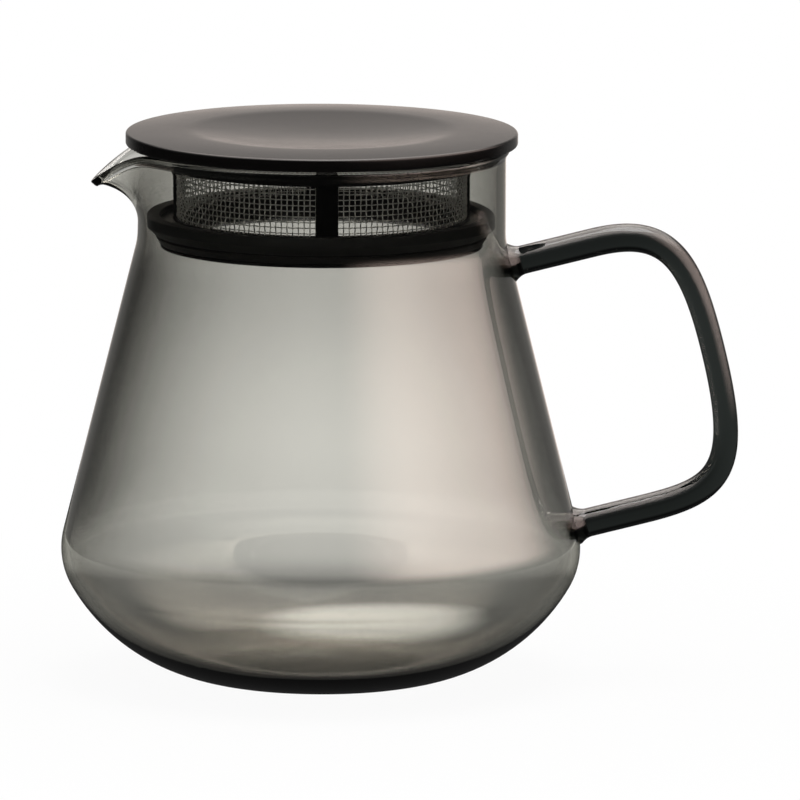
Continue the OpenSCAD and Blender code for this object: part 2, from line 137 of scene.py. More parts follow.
class CarafeVesselSizes(bpy.types.PropertyGroup):
    """Sizes and tint of the blown glass vessel."""

    body_r: length("Body radius", "Radius of the widest part, at the shoulder", VESSEL_HIGH.y)
    rim_z: length("Rim height", "Height of the rim over the table", VESSEL_HIGH.z)
    neck_r: length("Neck radius", "Outer radius of the neck", 44.15 * MM)
    neck_h: length("Neck height", "Height of the straight neck under the rim", 22.6 * MM)
    belly_r: length("Belly curve", "Radius of the curve from the base up to the shoulder", 46 * MM)
    belly_a: angle("Belly sweep", "Sweep of the belly curve", 60)
    shoulder_r: length("Shoulder curve", "Radius of the curve at the widest part", 17.5 * MM)
    fillet_r: length("Neck curve", "Radius of the hollow curve from the cone into the neck", 15 * MM)
    wall: length("Wall", "Thickness of the cone's glass", 2 * MM)
    neck_wall: length("Neck wall", "Thickness of the neck's glass", 2.2 * MM)
    base_t: length("Base thickness", "Thickness of the glass in the middle of the base", 3.5 * MM)
    flare_out: length("Rim flare", "How far the rim flares out of the neck", 0.8 * MM)
    flare_h: length("Flare height", "Height over which the rim flares out", 2 * MM)
    rim_round: length("Rim rounding", "Radius of the fire-rounded edges of the rim", 1.25 * MM)
    lip_length: length("Lip length", "Length of neck wall that is bent out to make the lip", 18.3 * MM)
    lip_lean: angle("Lip lean", "Lean of the lip's tip from upright", 84)
    lip_spread: angle("Lip spread", "Angle round the neck in which the lip falls to about a third", 8.2)
    lip_tip: angle("Lip tip", "Angle round the neck over which the tip of the lip is rounded", 2.2)
    lip_skirt: angle("Lip skirt", "Angle round the neck from the middle of the lip to where it fades out", 48)
    lip_dip: share("Lip dip", "Share of its length by which the lip's rim dips beside its tip", 0.09)
    lip_trim: share("Lip trim", "Share of its length that is cut off the middle of the lip", 0.09)
    lip_thin: share("Lip thinning", "Share of its thickness that the drawn lip loses", 0.12)
    thin_h: length("Thinning height", "Height of neck over which the lip's wall thins", 6 * MM)
    tint: colour("Tint", "Colour that the glass lets through, seen in a thick piece", "#a7a275")
    density: number("Tint depth", "How fast the tint builds up, per metre of glass", 120.0)
    # The edge tint and the edge tint shares below are painted shade for glass seen at a slant
    edge: colour("Edge tint", "Colour of the glass where it is seen along its surface", "#181a18")
    thick_share: share("Thick glass", "Light that neck and base let through, next to the body", 0.8)
    thin_share: share("Thin glass", "Share of the body's radius from which the glass is thin", 0.88)
    neck_share: share("Neck edge tint", "Share of the edge tint that the thinly drawn neck shows", 0.4)
    rim_share: number("Rim edge tint", "Multiple of the edge tint that the rounded rim shows", 1.5)
    belly_share: share("Belly edge tint", "Share of the edge tint that the lower belly shows", 0.4)


class CarafeHandleSizes(bpy.types.PropertyGroup):
    """Sizes and tint of the bent glass rod."""

    arm_d: length("Arm diameter", "Diameter of the rod at its arms", 6.9 * MM)
    grip_d: length("Grip diameter", "Diameter of the rod at the grip", 5.8 * MM)
    grip_out: length("Grip reach", "Distance from the shoulder out to the grip", 31.75 * MM)
    grip_lean: angle("Grip lean", "Lean of the grip from upright", 13.8)
    upper_arm: length("Upper arm", "Straight length of the upper arm", 20.4 * MM)
    lower_arm: length("Lower arm", "Straight length of the lower arm", 15.7 * MM)
    upper_drop: length("Upper weld", "Depth of the upper weld under the neck", 5.6 * MM)
    lower_rise: length("Lower weld", "Height of the lower weld over the cone's foot", 1.2 * MM)
    collar_out: length("Weld collar", "Extra radius of the collar at each weld", 1.3 * MM)
    collar_len: length("Collar length", "Length over which the collar fades out", 3 * MM)
    grip_share: share("Grip height", "Height of the grip's middle between the welds", 0.663)
    tint: colour("Tint", "Colour that the glass lets through, seen in a thick piece", "#4c5c55")
    density: number("Tint depth", "How fast the tint builds up, per metre of glass", 700.0)
    # The edge tint is painted shade for the rod where it is seen at a slant
    edge: colour("Edge tint", "Colour of the glass where it is seen along its surface", "#1c201d")


class CarafeLidSizes(bpy.types.PropertyGroup):
    """Sizes and colour of the moulded lid."""

    lid_r: length("Lid radius", "Outer radius of the lid", LID_HIGH.x)
    lid_z: length("Lid underside", "Height of the lid's underside", LID_LOW.z + 3 * MM)
    crest_z: length("Lid top", "Height of the lid's highest ring", LID_HIGH.z)
    dish_depth: length("Dish depth", "Depth of the dish in the top", 1.5 * MM)
    border_w: length("Border width", "Width of the border round the dish", 13.5 * MM)
    brow_w: length("Brow width", "Width of the rounded brow between the border and the dish", 3.5 * MM)
    border_fall: length("Border fall", "Fall of the border towards its edge", 0.45 * MM)
    top_round: length("Top edge", "Radius of the upper edge", 0.6 * MM)
    foot_round: length("Foot edge", "Radius of the lower edge", 0.7 * MM)
    spigot_r: length("Spigot radius", "Outer radius of the ring that holds the strainer", 32.7 * MM)
    spigot_wall: length("Spigot wall", "Thickness of that ring", 2.2 * MM)
    lug_out: length("Lug reach", "Reach of each twist-lock lug", 0.9 * MM)
    lug_h: length("Lug height", "Height of each lug", 1.1 * MM)
    lug_len: length("Lug length", "Length of each lug round the spigot", 7 * MM)
    lugs: count("Lugs", "Number of twist-lock lugs", 3)
    plastic: colour("Plastic", "Colour of the moulded lid", "#110f0f")


class CarafeStrainerSizes(bpy.types.PropertyGroup):
    """Sizes and colours of the cage, its woven mesh and its seal."""

    cage_z: length("Cage foot", "Height of the cage's lower edge", CAGE_LOW.z)
    cage_top: length("Cage top", "Height of the cage's upper edge", CAGE_HIGH.z)
    shelf_r: length("Shelf radius", "Outer radius of the shelf and foot", CAGE_HIGH.x)
    groove_r: length("Groove radius", "Radius at the bottom of the seal's groove", 37.24 * MM)
    cage_r: length("Cage radius", "Outer radius of the wall with the windows", 35.5 * MM)
    cage_in_r: length("Cage bore", "Inner radius of the cage", 32.8 * MM)
    shelf_h: length("Shelf height", "Height of the shelf over the foot", 6.6 * MM)
    shelf_t: length("Shelf thickness", "Thickness of the shelf over the seal", 1.5 * MM)
    foot_t: length("Foot thickness", "Thickness of the ring under the seal", 1 * MM)
    foot_bevel: length("Foot bevel", "Bevel of the lower edge", 0.5 * MM)
    foot_rim: length("Foot rim", "Width of the flat rim under the foot", 0.6 * MM)
    funnel_h: length("Funnel height", "Height of the slope inside the foot", 1.7 * MM)
    sill_h: length("Sill height", "Height of each window's sill over the shelf", 0.5 * MM)
    window_h: length("Window height", "Height of each window", 12.05 * MM)
    windows: count("Windows", "Number of windows", 4)
    post_w: length("Post width", "Width of the post between two windows", 5.3 * MM)
    post_turn: angle("Post turn", "Turn of the posts away from the handle and the lip", 2.3)
    edge_round: length("Edge rounding", "Rounding of the moulded edges", 0.3 * MM)
    mesh_r: length("Mesh radius", "Radius of the middle of the woven mesh", 34.6 * MM)
    wire_d: length("Wire", "Diameter of each wire", 0.29 * MM)
    wire_pitch: length("Wire spacing", "Distance from wire to wire", 1.38 * MM)
    wire_hold: length("Wire hold", "Length of each wire's end that the cage holds", 0.3 * MM)
    seal_r: length("Seal radius", "Outer radius of the seal's upper lip", SEAL_HIGH.x)
    seal_z: length("Seal foot", "Height of the seal's lower edge", SEAL_LOW.z)
    seal_top: length("Seal top", "Height of the seal's upper edge", SEAL_HIGH.z)
    seal_face: length("Seal face", "Height of the upper lip's outer face", 2.5 * MM)
    low_lip_reach: length("Lower lip reach", "Reach of the lower lip past the shelf", 1.2 * MM)
    low_lip_h: length("Lower lip height", "Height of the lower lip", 1.8 * MM)
    notch_d: length("Notch depth", "Depth of the notch between the lips", 0.6 * MM)
    notch_h: length("Notch height", "Height of the notch between the lips", 0.4 * MM)
    seal_gap: length("Seal clearance", "Clearance between the seal and its groove", 0.05 * MM)
    seal_round: length("Seal rounding", "Rounding of the seal's edges", 0.3 * MM)
    plastic: colour("Plastic", "Colour of the moulded cage", "#100f0f")
    steel: colour("Steel", "Colour of the woven wire", "#ecebe8")
    silicone: colour("Silicone", "Colour of the seal", "#121212")


class CarafeStudioSizes(bpy.types.PropertyGroup):
    """View, floor and light of the studio."""

    target: place_at("Target", "Point that the camera looks at", (18.93 * MM, 0.0, 67.5 * MM))
    distance: length("Camera distance", "Distance from the camera to that point", 4.0)
    elevation: angle("Camera elevation", "Height of the camera over the table as an angle", 9.2)
    roll: angle("Camera roll", "Turn of the camera about its own axis", 0.2)
    lens: number("Lens", "Focal length in millimetres", 750.0)
    floor_r: length("Floor radius", "Radius of the round table top", 0.36)
    floor_edge: length("Floor edge", "Width of the bevel round the table top", 1 * MM)
    floor_drop: length("Floor drop", "Depth of the table top under the base", 0.3 * MM)
    paper: colour("Paper", "Colour of the table top", "#f4f3f1")
    # As glass sees the table top, the shadow, the open top and the pool of light set here are painted into
    # its glow
    shadow_r: length("Shadow radius", "Radius round the carafe in which its shadow shows", 0.08)
    fade_r: length("Shadow end", "Radius at which the camera sees plain white", 0.216)
    floor_white: share("Floor white", "Share of plain white in the table top as the camera sees it", 0.95)
    dark_r: length("Dark radius", "Radius of the darkest place under the base", 20 * MM)
    base_dark: share("Base shadow", "Brightness of that place, seen through glass", 0.06)
    floor_glass: share("Floor in glass", "Brightness at the shadow's edge, seen through glass", 0.3)
    open_r: length("Open radius", "Radius from which the table top lies open to the light", 0.1728)
    open_level: share("Open floor", "Brightness of the open table top, seen through glass", 0.74)
    far_r: length("Far radius", "Radius from which the table top turns to the white beyond it", 0.1512)
    floor_gloss: share("Floor in gloss", "Brightness of the table top as gloss mirrors it", 0.03)
    pool_r: length("Pool radius", "Radius of the pool of light behind the base", 38 * MM)
    pool_core: share("Pool core", "Share of the pool's radius that is fully bright", 0.4)
    pool_x: length("Pool side", "Distance from the base to that pool, towards the handle", 14 * MM)
    pool_y: length("Pool back", "Distance from the base to that pool, away from the camera", 50 * MM)
    pool: share("Pool of light", "Brightness of that pool, seen through glass", 1.0)
    lamp_at: place_at("Lamp", "Place of the soft lamp over the table", (0.15, -0.1, 1.6))
    lamp_size: length("Lamp size", "Side of the square lamp", 1.0)
    lamp_watts: number("Lamp power", "Power of the lamp in watts", 14.0)


def groups():
    """The scene's groups of sizes, in the order vessel, handle, lid, strainer, studio."""
    scene = bpy.context.scene
    return (
        scene.carafe_vessel,
        scene.carafe_handle,
        scene.carafe_lid,
        scene.carafe_strainer,
        scene.carafe_studio,
    )


def add_node(tree, kind, values=None, links=None, **settings):
    """Adds a shader node, sets its own settings and its sockets' values, and links sockets to its inputs."""
    node = tree.nodes.new("ShaderNode" + kind)
    for name, value in settings.items():
        setattr(node, name, value)
    for socket, value in (values or {}).items():
        node.inputs[socket].default_value = value
    for socket, source in (links or {}).items():
        tree.links.new(source, node.inputs[socket])
    return node


def per_metre(mm):
    """Scale of a pattern whose features are that many millimetres across."""
    return 1000 / mm


def empty_material(name):
    """A material with nothing but its output node, and that node."""
    material = bpy.data.materials.new(name)
    material.use_nodes = True
    material.node_tree.nodes.clear()
    return material, add_node(material.node_tree, "OutputMaterial")


def tinted_glass(name, tint, density, edge, thinned, zoned, ripple_mm, ripple_depth, stretch):
    """Borosilicate glass coloured in the melt: darker where thick, painted shade at slanted edges, slow
    ripples.
    """
    material, output = empty_material(name)
    tree = material.node_tree
    thick_r, thin_r, thick_share = thinned
    place = add_node(tree, "TexCoord")
    drawn = add_node(tree, "Mapping", {"Scale": stretch}, {"Vector": place.outputs["Object"]})
    ripple = add_node(
        tree,
        "TexNoise",
        {"Scale": per_metre(ripple_mm), "Detail": 1.0, "Roughness": 0.4},
        {"Vector": drawn.outputs["Vector"]},
    )
    wave = add_node(
        tree, "Bump", {"Strength": 1.0, "Distance": ripple_depth}, {"Height": ripple.outputs["Fac"]}
    )
    flat = add_node(tree, "Mapping", {"Scale": (1, 1, 0)}, {"Vector": place.outputs["Object"]})
    reach = add_node(tree, "VectorMath", links={0: flat.outputs["Vector"]}, operation="LENGTH")
    pale = add_node(
        tree,
        "MapRange",
        {"From Min": thick_r, "From Max": thin_r, "To Min": thick_share, "To Max": 1.0},
        {"Value": reach.outputs["Value"]},
        interpolation_type="SMOOTHSTEP",
    )
    # Painted shade: glass seen at a slant turns towards the edge tint, which stands for the dark surroundings
    # that its edges show as well as the long way light runs through the glass there; level faces get none of
    # it
    slant = add_node(tree, "LayerWeight", {"Blend": 0.64}, {"Normal": wave.outputs["Normal"]})
    shape = add_node(tree, "NewGeometry")
    facing = add_node(tree, "SeparateXYZ", links={"Vector": shape.outputs["Normal"]})
    level = add_node(tree, "Math", links={0: facing.outputs["Z"]}, operation="ABSOLUTE")
    upright = add_node(
        tree,
        "MapRange",
        {"From Min": 0.97, "From Max": 0.8},
        {"Value": level.outputs["Value"]},
        interpolation_type="SMOOTHSTEP",
    )
    weaker = [upright.outputs["Result"]]
    if zoned:
        weaker.append(add_node(tree, "Attribute", attribute_name="edge_share").outputs["Fac"])
    along = slant.outputs["Facing"]
    for part in weaker:
        product = add_node(tree, "Math", links={0: along, 1: part}, operation="MULTIPLY")
        along = product.outputs["Value"]
    depth = add_node(
        tree, "Mix", {"B": (*edge, 1.0)}, {"A": pale.outputs["Result"], "Factor": along}, data_type="RGBA"
    )
    glass = add_node(
        tree,
        "BsdfPrincipled",
        {"Roughness": 0.0, "IOR": 1.47, "Transmission Weight": 1.0},
        {"Base Color": depth.outputs["Result"], "Normal": wave.outputs["Normal"]},
    )
    # Each face lets this share of the lamp's light into the shadow
    clear = add_node(tree, "BsdfTransparent", {"Color": (*[0.42] * 3, 1.0)})
    path = add_node(tree, "LightPath")
    surface = add_node(
        tree,
        "MixShader",
        links={0: path.outputs["Is Shadow Ray"], 1: glass.outputs["BSDF"], 2: clear.outputs["BSDF"]},
    )
    body = add_node(tree, "VolumeAbsorption", {"Color": (*tint, 1.0), "Density": density})
    tree.links.new(surface.outputs["Shader"], output.inputs["Surface"])
    tree.links.new(body.outputs["Volume"], output.inputs["Volume"])
    return material


def moulded_plastic(name, tone, roughness, gloss, grain_mm, grain_depth, blotch_mm):
    """Moulded polypropylene: black, with an even grain from the tool that breaks up its reflections."""
    material, output = empty_material(name)
    tree = material.node_tree
    place = add_node(tree, "TexCoord")
    grain = add_node(
        tree,
        "TexNoise",
        {"Scale": per_metre(grain_mm), "Detail": 3.0, "Roughness": 0.6},
        {"Vector": place.outputs["Object"]},
    )
    blotch = add_node(
        tree,
        "TexNoise",
        {"Scale": per_metre(blotch_mm), "Detail": 2.0},
        {"Vector": place.outputs["Object"]},
    )
    satin = add_node(
        tree,
        "MapRange",
        {"To Min": roughness - 0.04, "To Max": roughness + 0.04},
        {"Value": blotch.outputs["Fac"]},
    )
    shade = add_node(
        tree,
        "Mix",
        {"A": (*[0.8 * c for c in tone], 1.0), "B": (*[1.2 * c for c in tone], 1.0)},
        {"Factor": grain.outputs["Fac"]},
        data_type="RGBA",
    )
    pits = add_node(
        tree, "Bump", {"Strength": 1.0, "Distance": grain_depth}, {"Height": grain.outputs["Fac"]}
    )
    plastic = add_node(
        tree,
        "BsdfPrincipled",
        {"IOR": 1.49, "Specular IOR Level": gloss},
        {
            "Base Color": shade.outputs["Result"],
            "Roughness": satin.outputs["Result"],
            "Normal": pits.outputs["Normal"],
        },
    )
    tree.links.new(plastic.outputs["BSDF"], output.inputs["Surface"])
    return material


def drawn_steel_wire(name, tone, draw_mm):
    """Stainless steel drawn to wire: bright, with fine marks from the die that soften the gleam."""
    material, output = empty_material(name)
    tree = material.node_tree
    place = add_node(tree, "TexCoord")
    marks = add_node(
        tree, "TexNoise", {"Scale": per_metre(draw_mm), "Detail": 2.0}, {"Vector": place.outputs["Object"]}
    )
    gleam = add_node(tree, "MapRange", {"To Min": 0.34, "To Max": 0.5}, {"Value": marks.outputs["Fac"]})
    shade = add_node(
        tree,
        "Mix",
        {"A": (*[0.8 * c for c in tone], 1.0), "B": (*tone, 1.0)},
        {"Factor": marks.outputs["Fac"]},
        data_type="RGBA",
    )
    steel = add_node(
        tree,
        "BsdfPrincipled",
        {"Metallic": 1.0},
        {"Base Color": shade.outputs["Result"], "Roughness": gleam.outputs["Result"]},
    )
    tree.links.new(steel.outputs["BSDF"], output.inputs["Surface"])
    return material


def moulded_silicone(name, tone, bloom_mm):
    """Silicone rubber moulded in a polished tool: soft and dark, with a faint uneven bloom."""
    material, output = empty_material(name)
    tree = material.node_tree
    place = add_node(tree, "TexCoord")
    bloom = add_node(
        tree, "TexNoise", {"Scale": per_metre(bloom_mm), "Detail": 3.0}, {"Vector": place.outputs["Object"]}
    )
    dull = add_node(tree, "MapRange", {"To Min": 0.42, "To Max": 0.58}, {"Value": bloom.outputs["Fac"]})
    shade = add_node(
        tree,
        "Mix",
        {"A": (*tone, 1.0), "B": (*[1.5 * c for c in tone], 1.0)},
        {"Factor": bloom.outputs["Fac"]},
        data_type="RGBA",
    )
    rubber = add_node(
        tree,
        "BsdfPrincipled",
        {"IOR": 1.41},
        {"Base Color": shade.outputs["Result"], "Roughness": dull.outputs["Result"]},
    )
    tree.links.new(rubber.outputs["BSDF"], output.inputs["Surface"])
    return material


def arc(centre, r, start, end, steps):
    """Points of an arc in a half section, from one angle to another, both in degrees."""
    turns = [math.radians(start + (end - start) * i / steps) for i in range(steps + 1)]
    return [(centre[0] + r * math.cos(a), centre[1] + r * math.sin(a)) for a in turns]


def line(start, end, steps):
    """Points of a straight line in a half section, without its ends."""
    return [
        (start[0] + (end[0] - start[0]) * i / steps, start[1] + (end[1] - start[1]) * i / steps)
        for i in range(1, steps)
    ]


def rounded(corners, radius, steps=3):
    """A closed half section with each corner rounded by that radius, or less where its sides are short."""
    most = 0.4
    points = []
    for i, corner in enumerate(corners):
        here = Vector(corner)
        before = Vector(corners[i - 1]) - here
        after = Vector(corners[(i + 1) % len(corners)]) - here
        half = before.angle(after) / 2
        run = min(radius / math.tan(half), most * before.length, most * after.length)
        middle = here + (before.normalized() + after.normalized()).normalized() * run / math.cos(half)
        first = here + before.normalized() * run - middle
        last = here + after.normalized() * run - middle
        turn = first.length
        ways = [first.normalized().slerp(last.normalized(), k / steps) for k in range(steps + 1)]
        points += [tuple(middle + turn * way) for way in ways]
    return points


def even_turns(steps):
    """Equally spaced angles round the Z axis."""
    return [FULL_TURN * i / steps for i in range(steps)]


def turned(a, r, z):
    """Point at an angle, radius and height."""
    return (r * math.cos(a), r * math.sin(a), z)


def revolved(profile, turns, place=turned, closed=False, edge_share=None):
    """Solid swept round the Z axis by a half section, whose points on the axis become poles.

    Where edge_share is given, each vertex keeps what it says for the height in the section."""
    solid = bmesh.new()
    layer = solid.verts.layers.float.new("edge_share") if edge_share else None
    poles = {i: solid.verts.new((0, 0, z)) for i, (r, z) in enumerate(profile) if r == 0}
    columns = [
        [poles[i] if i in poles else solid.verts.new(place(a, r, z)) for i, (r, z) in enumerate(profile)]
        for a in turns
    ]
    if layer:
        for column in columns:
            for vert, (_, z) in zip(column, profile):
                vert[layer] = edge_share(z)
    steps = list(zip(range(len(profile)), range(1, len(profile))))
    if closed:
        steps.append((len(profile) - 1, 0))
    for here, there in zip(columns, columns[1:] + columns[:1]):
        for i, k in steps:
            corners = list(dict.fromkeys((here[i], there[i], there[k], here[k])))
            if len(corners) > 2:
                solid.faces.new(corners)
    return solid


def lofted(solid, rings, first_middle=None, last_middle=None):
    """Adds a tube through rings of equally many points, closed at both ends by a point or a flat face."""
    loops = [[solid.verts.new(p) for p in ring] for ring in rings]
    n = len(loops[0])
    for here, there in zip(loops, loops[1:]):
        for j in range(n):
            k = (j + 1) % n
            solid.faces.new((here[j], here[k], there[k], there[j]))
    for loop, middle in ((loops[0], first_middle), (loops[-1], last_middle)):
        if middle is None:
            solid.faces.new(loop)
        else:
            tip = solid.verts.new(middle)
            for j in range(n):
                solid.faces.new((loop[j], loop[(j + 1) % n], tip))


def finished(name, solid, material, body, slot, *nodes, sharp=35):
    """Turns a solid into a piece that rides on a body and stands for CAD nodes."""
    bmesh.ops.remove_doubles(solid, verts=solid.verts, dist=1e-7)
    bmesh.ops.dissolve_degenerate(solid, edges=solid.edges, dist=1e-8)
    bmesh.ops.recalc_face_normals(solid, faces=solid.faces)
    mesh = bpy.data.meshes.new(name)
    solid.to_mesh(mesh)
    solid.free()
    if not mesh.polygons:
        raise RuntimeError(f"{name} has no faces")
    mesh.shade_smooth()
    mesh.set_sharp_from_angle(angle=math.radians(sharp))
    mesh.materials.append(material)
    piece = bpy.data.objects.new(name, mesh)
    bpy.context.scene.collection.objects.link(piece)
    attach(piece, body)
    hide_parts(*nodes)
    return piece


def tangent_angle(centre, r, point):
    """Angle of the point where the line from a point touches the outer side of a circle, in degrees."""
    away = Vector(point) - Vector(centre)
    return math.degrees(math.atan2(away.y, away.x) - math.acos(r / away.length))


def vessel_lines(v):
    """Points and angles of the vessel's half section that the vessel and the handle share."""
    rise = v.belly_r - v.shoulder_r
    shoulder = Vector((v.body_r - v.shoulder_r, v.belly_r - rise * math.cos(v.belly_a)))
    belly = Vector((shoulder.x - rise * math.sin(v.belly_a), v.belly_r))
    neck_z = v.rim_z - v.neck_h
    cone_a = tangent_angle(shoulder, v.shoulder_r, (v.neck_r, neck_z))
    turn = math.radians(cone_a)
    foot = shoulder + v.shoulder_r * Vector((math.cos(turn), math.sin(turn)))
    return shoulder, belly, neck_z, cone_a, foot


def vessel_profile(v):
    """Half section from the middle of the base, out and up, over the rim and down to the floor inside."""
    shoulder, belly, neck_z, cone_a, _ = vessel_lines(v)
    sweep = math.degrees(v.belly_a)
    bore_r = v.neck_r - v.neck_wall
    flare_z = v.rim_z - v.rim_round - v.flare_h
    fillet = (v.neck_r + v.fillet_r, neck_z + v.fillet_r * math.tan(math.radians(cone_a / 2)))
    outside = [(0, 0)]
    outside += line((0, 0), (belly.x, 0), BASE_STEPS)
    outside += arc(belly, v.belly_r, -90, sweep - 90, BELLY_STEPS)
    outside += arc(shoulder, v.shoulder_r, sweep - 90, cone_a, SHOULDER_STEPS)[1:]
    throat = arc(fillet, v.fillet_r, 180 + cone_a, 180, THROAT_STEPS)
    outside += line(outside[-1], throat[0], CONE_STEPS) + throat
    rim = [
        (v.neck_r + v.flare_out * (i / FLARE_STEPS) ** 2, flare_z + v.flare_h * i / FLARE_STEPS)
        for i in range(FLARE_STEPS)
    ]
    rim_r = v.neck_r + v.flare_out
    rim += arc((rim_r - v.rim_round, v.rim_z - v.rim_round), v.rim_round, 0, 90, RIM_STEPS)
    rim += arc((bore_r + v.rim_round, v.rim_z - v.rim_round), v.rim_round, 90, 180, RIM_STEPS)
    outside += line(throat[-1], rim[0], NECK_STEPS) + rim

    in_r = v.shoulder_r - v.wall
    floor_r = (shoulder.y - in_r * math.cos(v.belly_a) - v.base_t) / (1 - math.cos(v.belly_a))
    turn = math.radians(sweep + 90)
    floor = shoulder + (floor_r - in_r) * Vector((math.cos(turn), math.sin(turn)))
    in_a = tangent_angle(shoulder, in_r, (bore_r, neck_z))
    in_fillet = (bore_r + v.fillet_r, neck_z + v.fillet_r * math.tan(math.radians(in_a / 2)))
    in_throat = arc(in_fillet, v.fillet_r, 180, 180 + in_a, THROAT_STEPS)
    in_shoulder = arc(shoulder, in_r, in_a, sweep - 90, SHOULDER_STEPS)
    inside = line(rim[-1], in_throat[0], NECK_STEPS) + in_throat
    inside += line(in_throat[-1], in_shoulder[0], CONE_STEPS) + in_shoulder
    inside += arc(floor, floor_r, sweep - 90, -90, BELLY_STEPS)[1:]
    inside += line((floor.x, v.base_t), (0, v.base_t), BASE_STEPS) + [(0, v.base_t)]
    return outside + inside


def lip_steps(v, away):
    """Outward move and drop of the neck wall in steps down from the rim, and the share that is drawn out."""
    drawn = math.exp((v.lip_tip - math.hypot(away, v.lip_tip)) / v.lip_spread)
    drawn *= math.cos(min(1.0, away / v.lip_skirt) * math.pi / 2) ** 2
    # The dip is deepest where the lip is half drawn out
    trim = v.lip_trim * drawn + 4 * v.lip_dip * drawn * (1 - drawn)
    steps = []
    out = drop = 0.0
    for i in range(int(v.neck_h / LIP_STEP), -1, -1):
        t = max(0.0, 1 - i * LIP_STEP / v.lip_length)
        # The wall tilts ever less quickly on its way up, and the trim sets in over its first quarter
        tilt = v.lip_lean * drawn * t * (3 - t) / 2
        kept = LIP_STEP * (1 - trim * min(1.0, 4 * t))
        out += math.sin(tilt) * kept
        drop += LIP_STEP - math.cos(tilt) * kept
        steps.append((out, drop))
    return steps[::-1], drawn


def eased(value, start, end):
    """Smooth step from 0 at one value to 1 at another."""
    t = min(1.0, max(0.0, (value - start) / (end - start)))
    return t * t * (3 - 2 * t)


def edge_shares(v, z):
    """Multiple of the painted edge shade at a height: less in the lower belly and the neck, more at the rim.
    """
    neck_z = v.rim_z - v.neck_h
    round_z = v.rim_z - v.rim_round
    belly_from, belly_to = (1.5 * MM, 6 * MM), (28 * MM, 44 * MM)
    neck_from, neck_to = (neck_z - 8 * MM, neck_z + 4 * MM), (round_z - v.flare_h, round_z)
    belly = eased(z, *belly_from) - eased(z, *belly_to)
    neck = eased(z, *neck_from) - eased(z, *neck_to)
    rim = eased(z, round_z - v.rim_round / 2, round_z)
    return 1 - belly * (1 - v.belly_share) - neck * (1 - v.neck_share) + rim * (v.rim_share - 1)


class CARAFE_OT_glass_vessel(bpy.types.Operator):
    """Builds the blown glass vessel with its thick base, flared rim and drawn lip"""

    bl_idname = "carafe.glass_vessel"
    bl_label = "Glass vessel"

    def execute(self, context):
        v = groups()[0]
        # Blown and fire-polished: clear reflections, slow waves about a thumb wide, darker where it is thick,
        # and painted shade where it is seen at a slant
        glass = tinted_glass(
            "smoke_borosilicate_blown",
            v.tint,
            v.density,
            v.edge,
            thinned=(v.neck_r, v.thin_share * v.body_r, v.thick_share),
            zoned=True,
            ripple_mm=26,
            ripple_depth=0.02 * MM,
            stretch=(1, 1, 0.5),
        )
        middle = v.neck_r - v.neck_wall / 2
        low = v.rim_z - v.neck_h
        bent = {}

        def bent_wall(a, z):
            if a not in bent:
                bent[a] = lip_steps(v, abs(a))
            steps, drawn = bent[a]
            at = min(max(0.0, v.rim_z - z) / LIP_STEP, len(steps) - 1.001)
            i = int(at)
            out, drop = (p + (q - p) * (at - i) for p, q in zip(steps[i], steps[i + 1]))
            return Vector(turned(a + math.pi, middle + out, z - drop)), drawn

        def place(a, r, z):
            if z <= low or abs(a) >= v.lip_skirt:
                return turned(a + math.pi, r, z)
            wall, drawn = bent_wall(a, z)
            side = bent_wall(a + SLOPE_SIDE, z)[0] - bent_wall(a - SLOPE_SIDE, z)[0]
            rise = bent_wall(a, z + SLOPE_RISE)[0] - bent_wall(a, z - SLOPE_RISE)[0]
            thin = 1 - v.lip_thin * drawn * min(1.0, (z - low) / v.thin_h)
            return wall + side.cross(rise).normalized() * (r - middle) * thin

        # Columns stand close together a little past the lip's skirt, and turn from the lip, at 0, both ways
        spread = 1.05 * v.lip_skirt
        turns = [spread * (i - LIP_COLUMNS) / LIP_COLUMNS for i in range(2 * LIP_COLUMNS + 1)]
        rest = FULL_TURN - 2 * spread
        for i in range(1, BODY_COLUMNS):
            a = spread + rest * i / BODY_COLUMNS
            turns.append(a - FULL_TURN if a > math.pi else a)
        solid = revolved(vessel_profile(v), turns, place, edge_share=lambda z: edge_shares(v, z))
        finished("vessel_glass", solid, glass, "vessel", "vessel_glass", "glass_vessel", sharp=60)
        return {"FINISHED"}


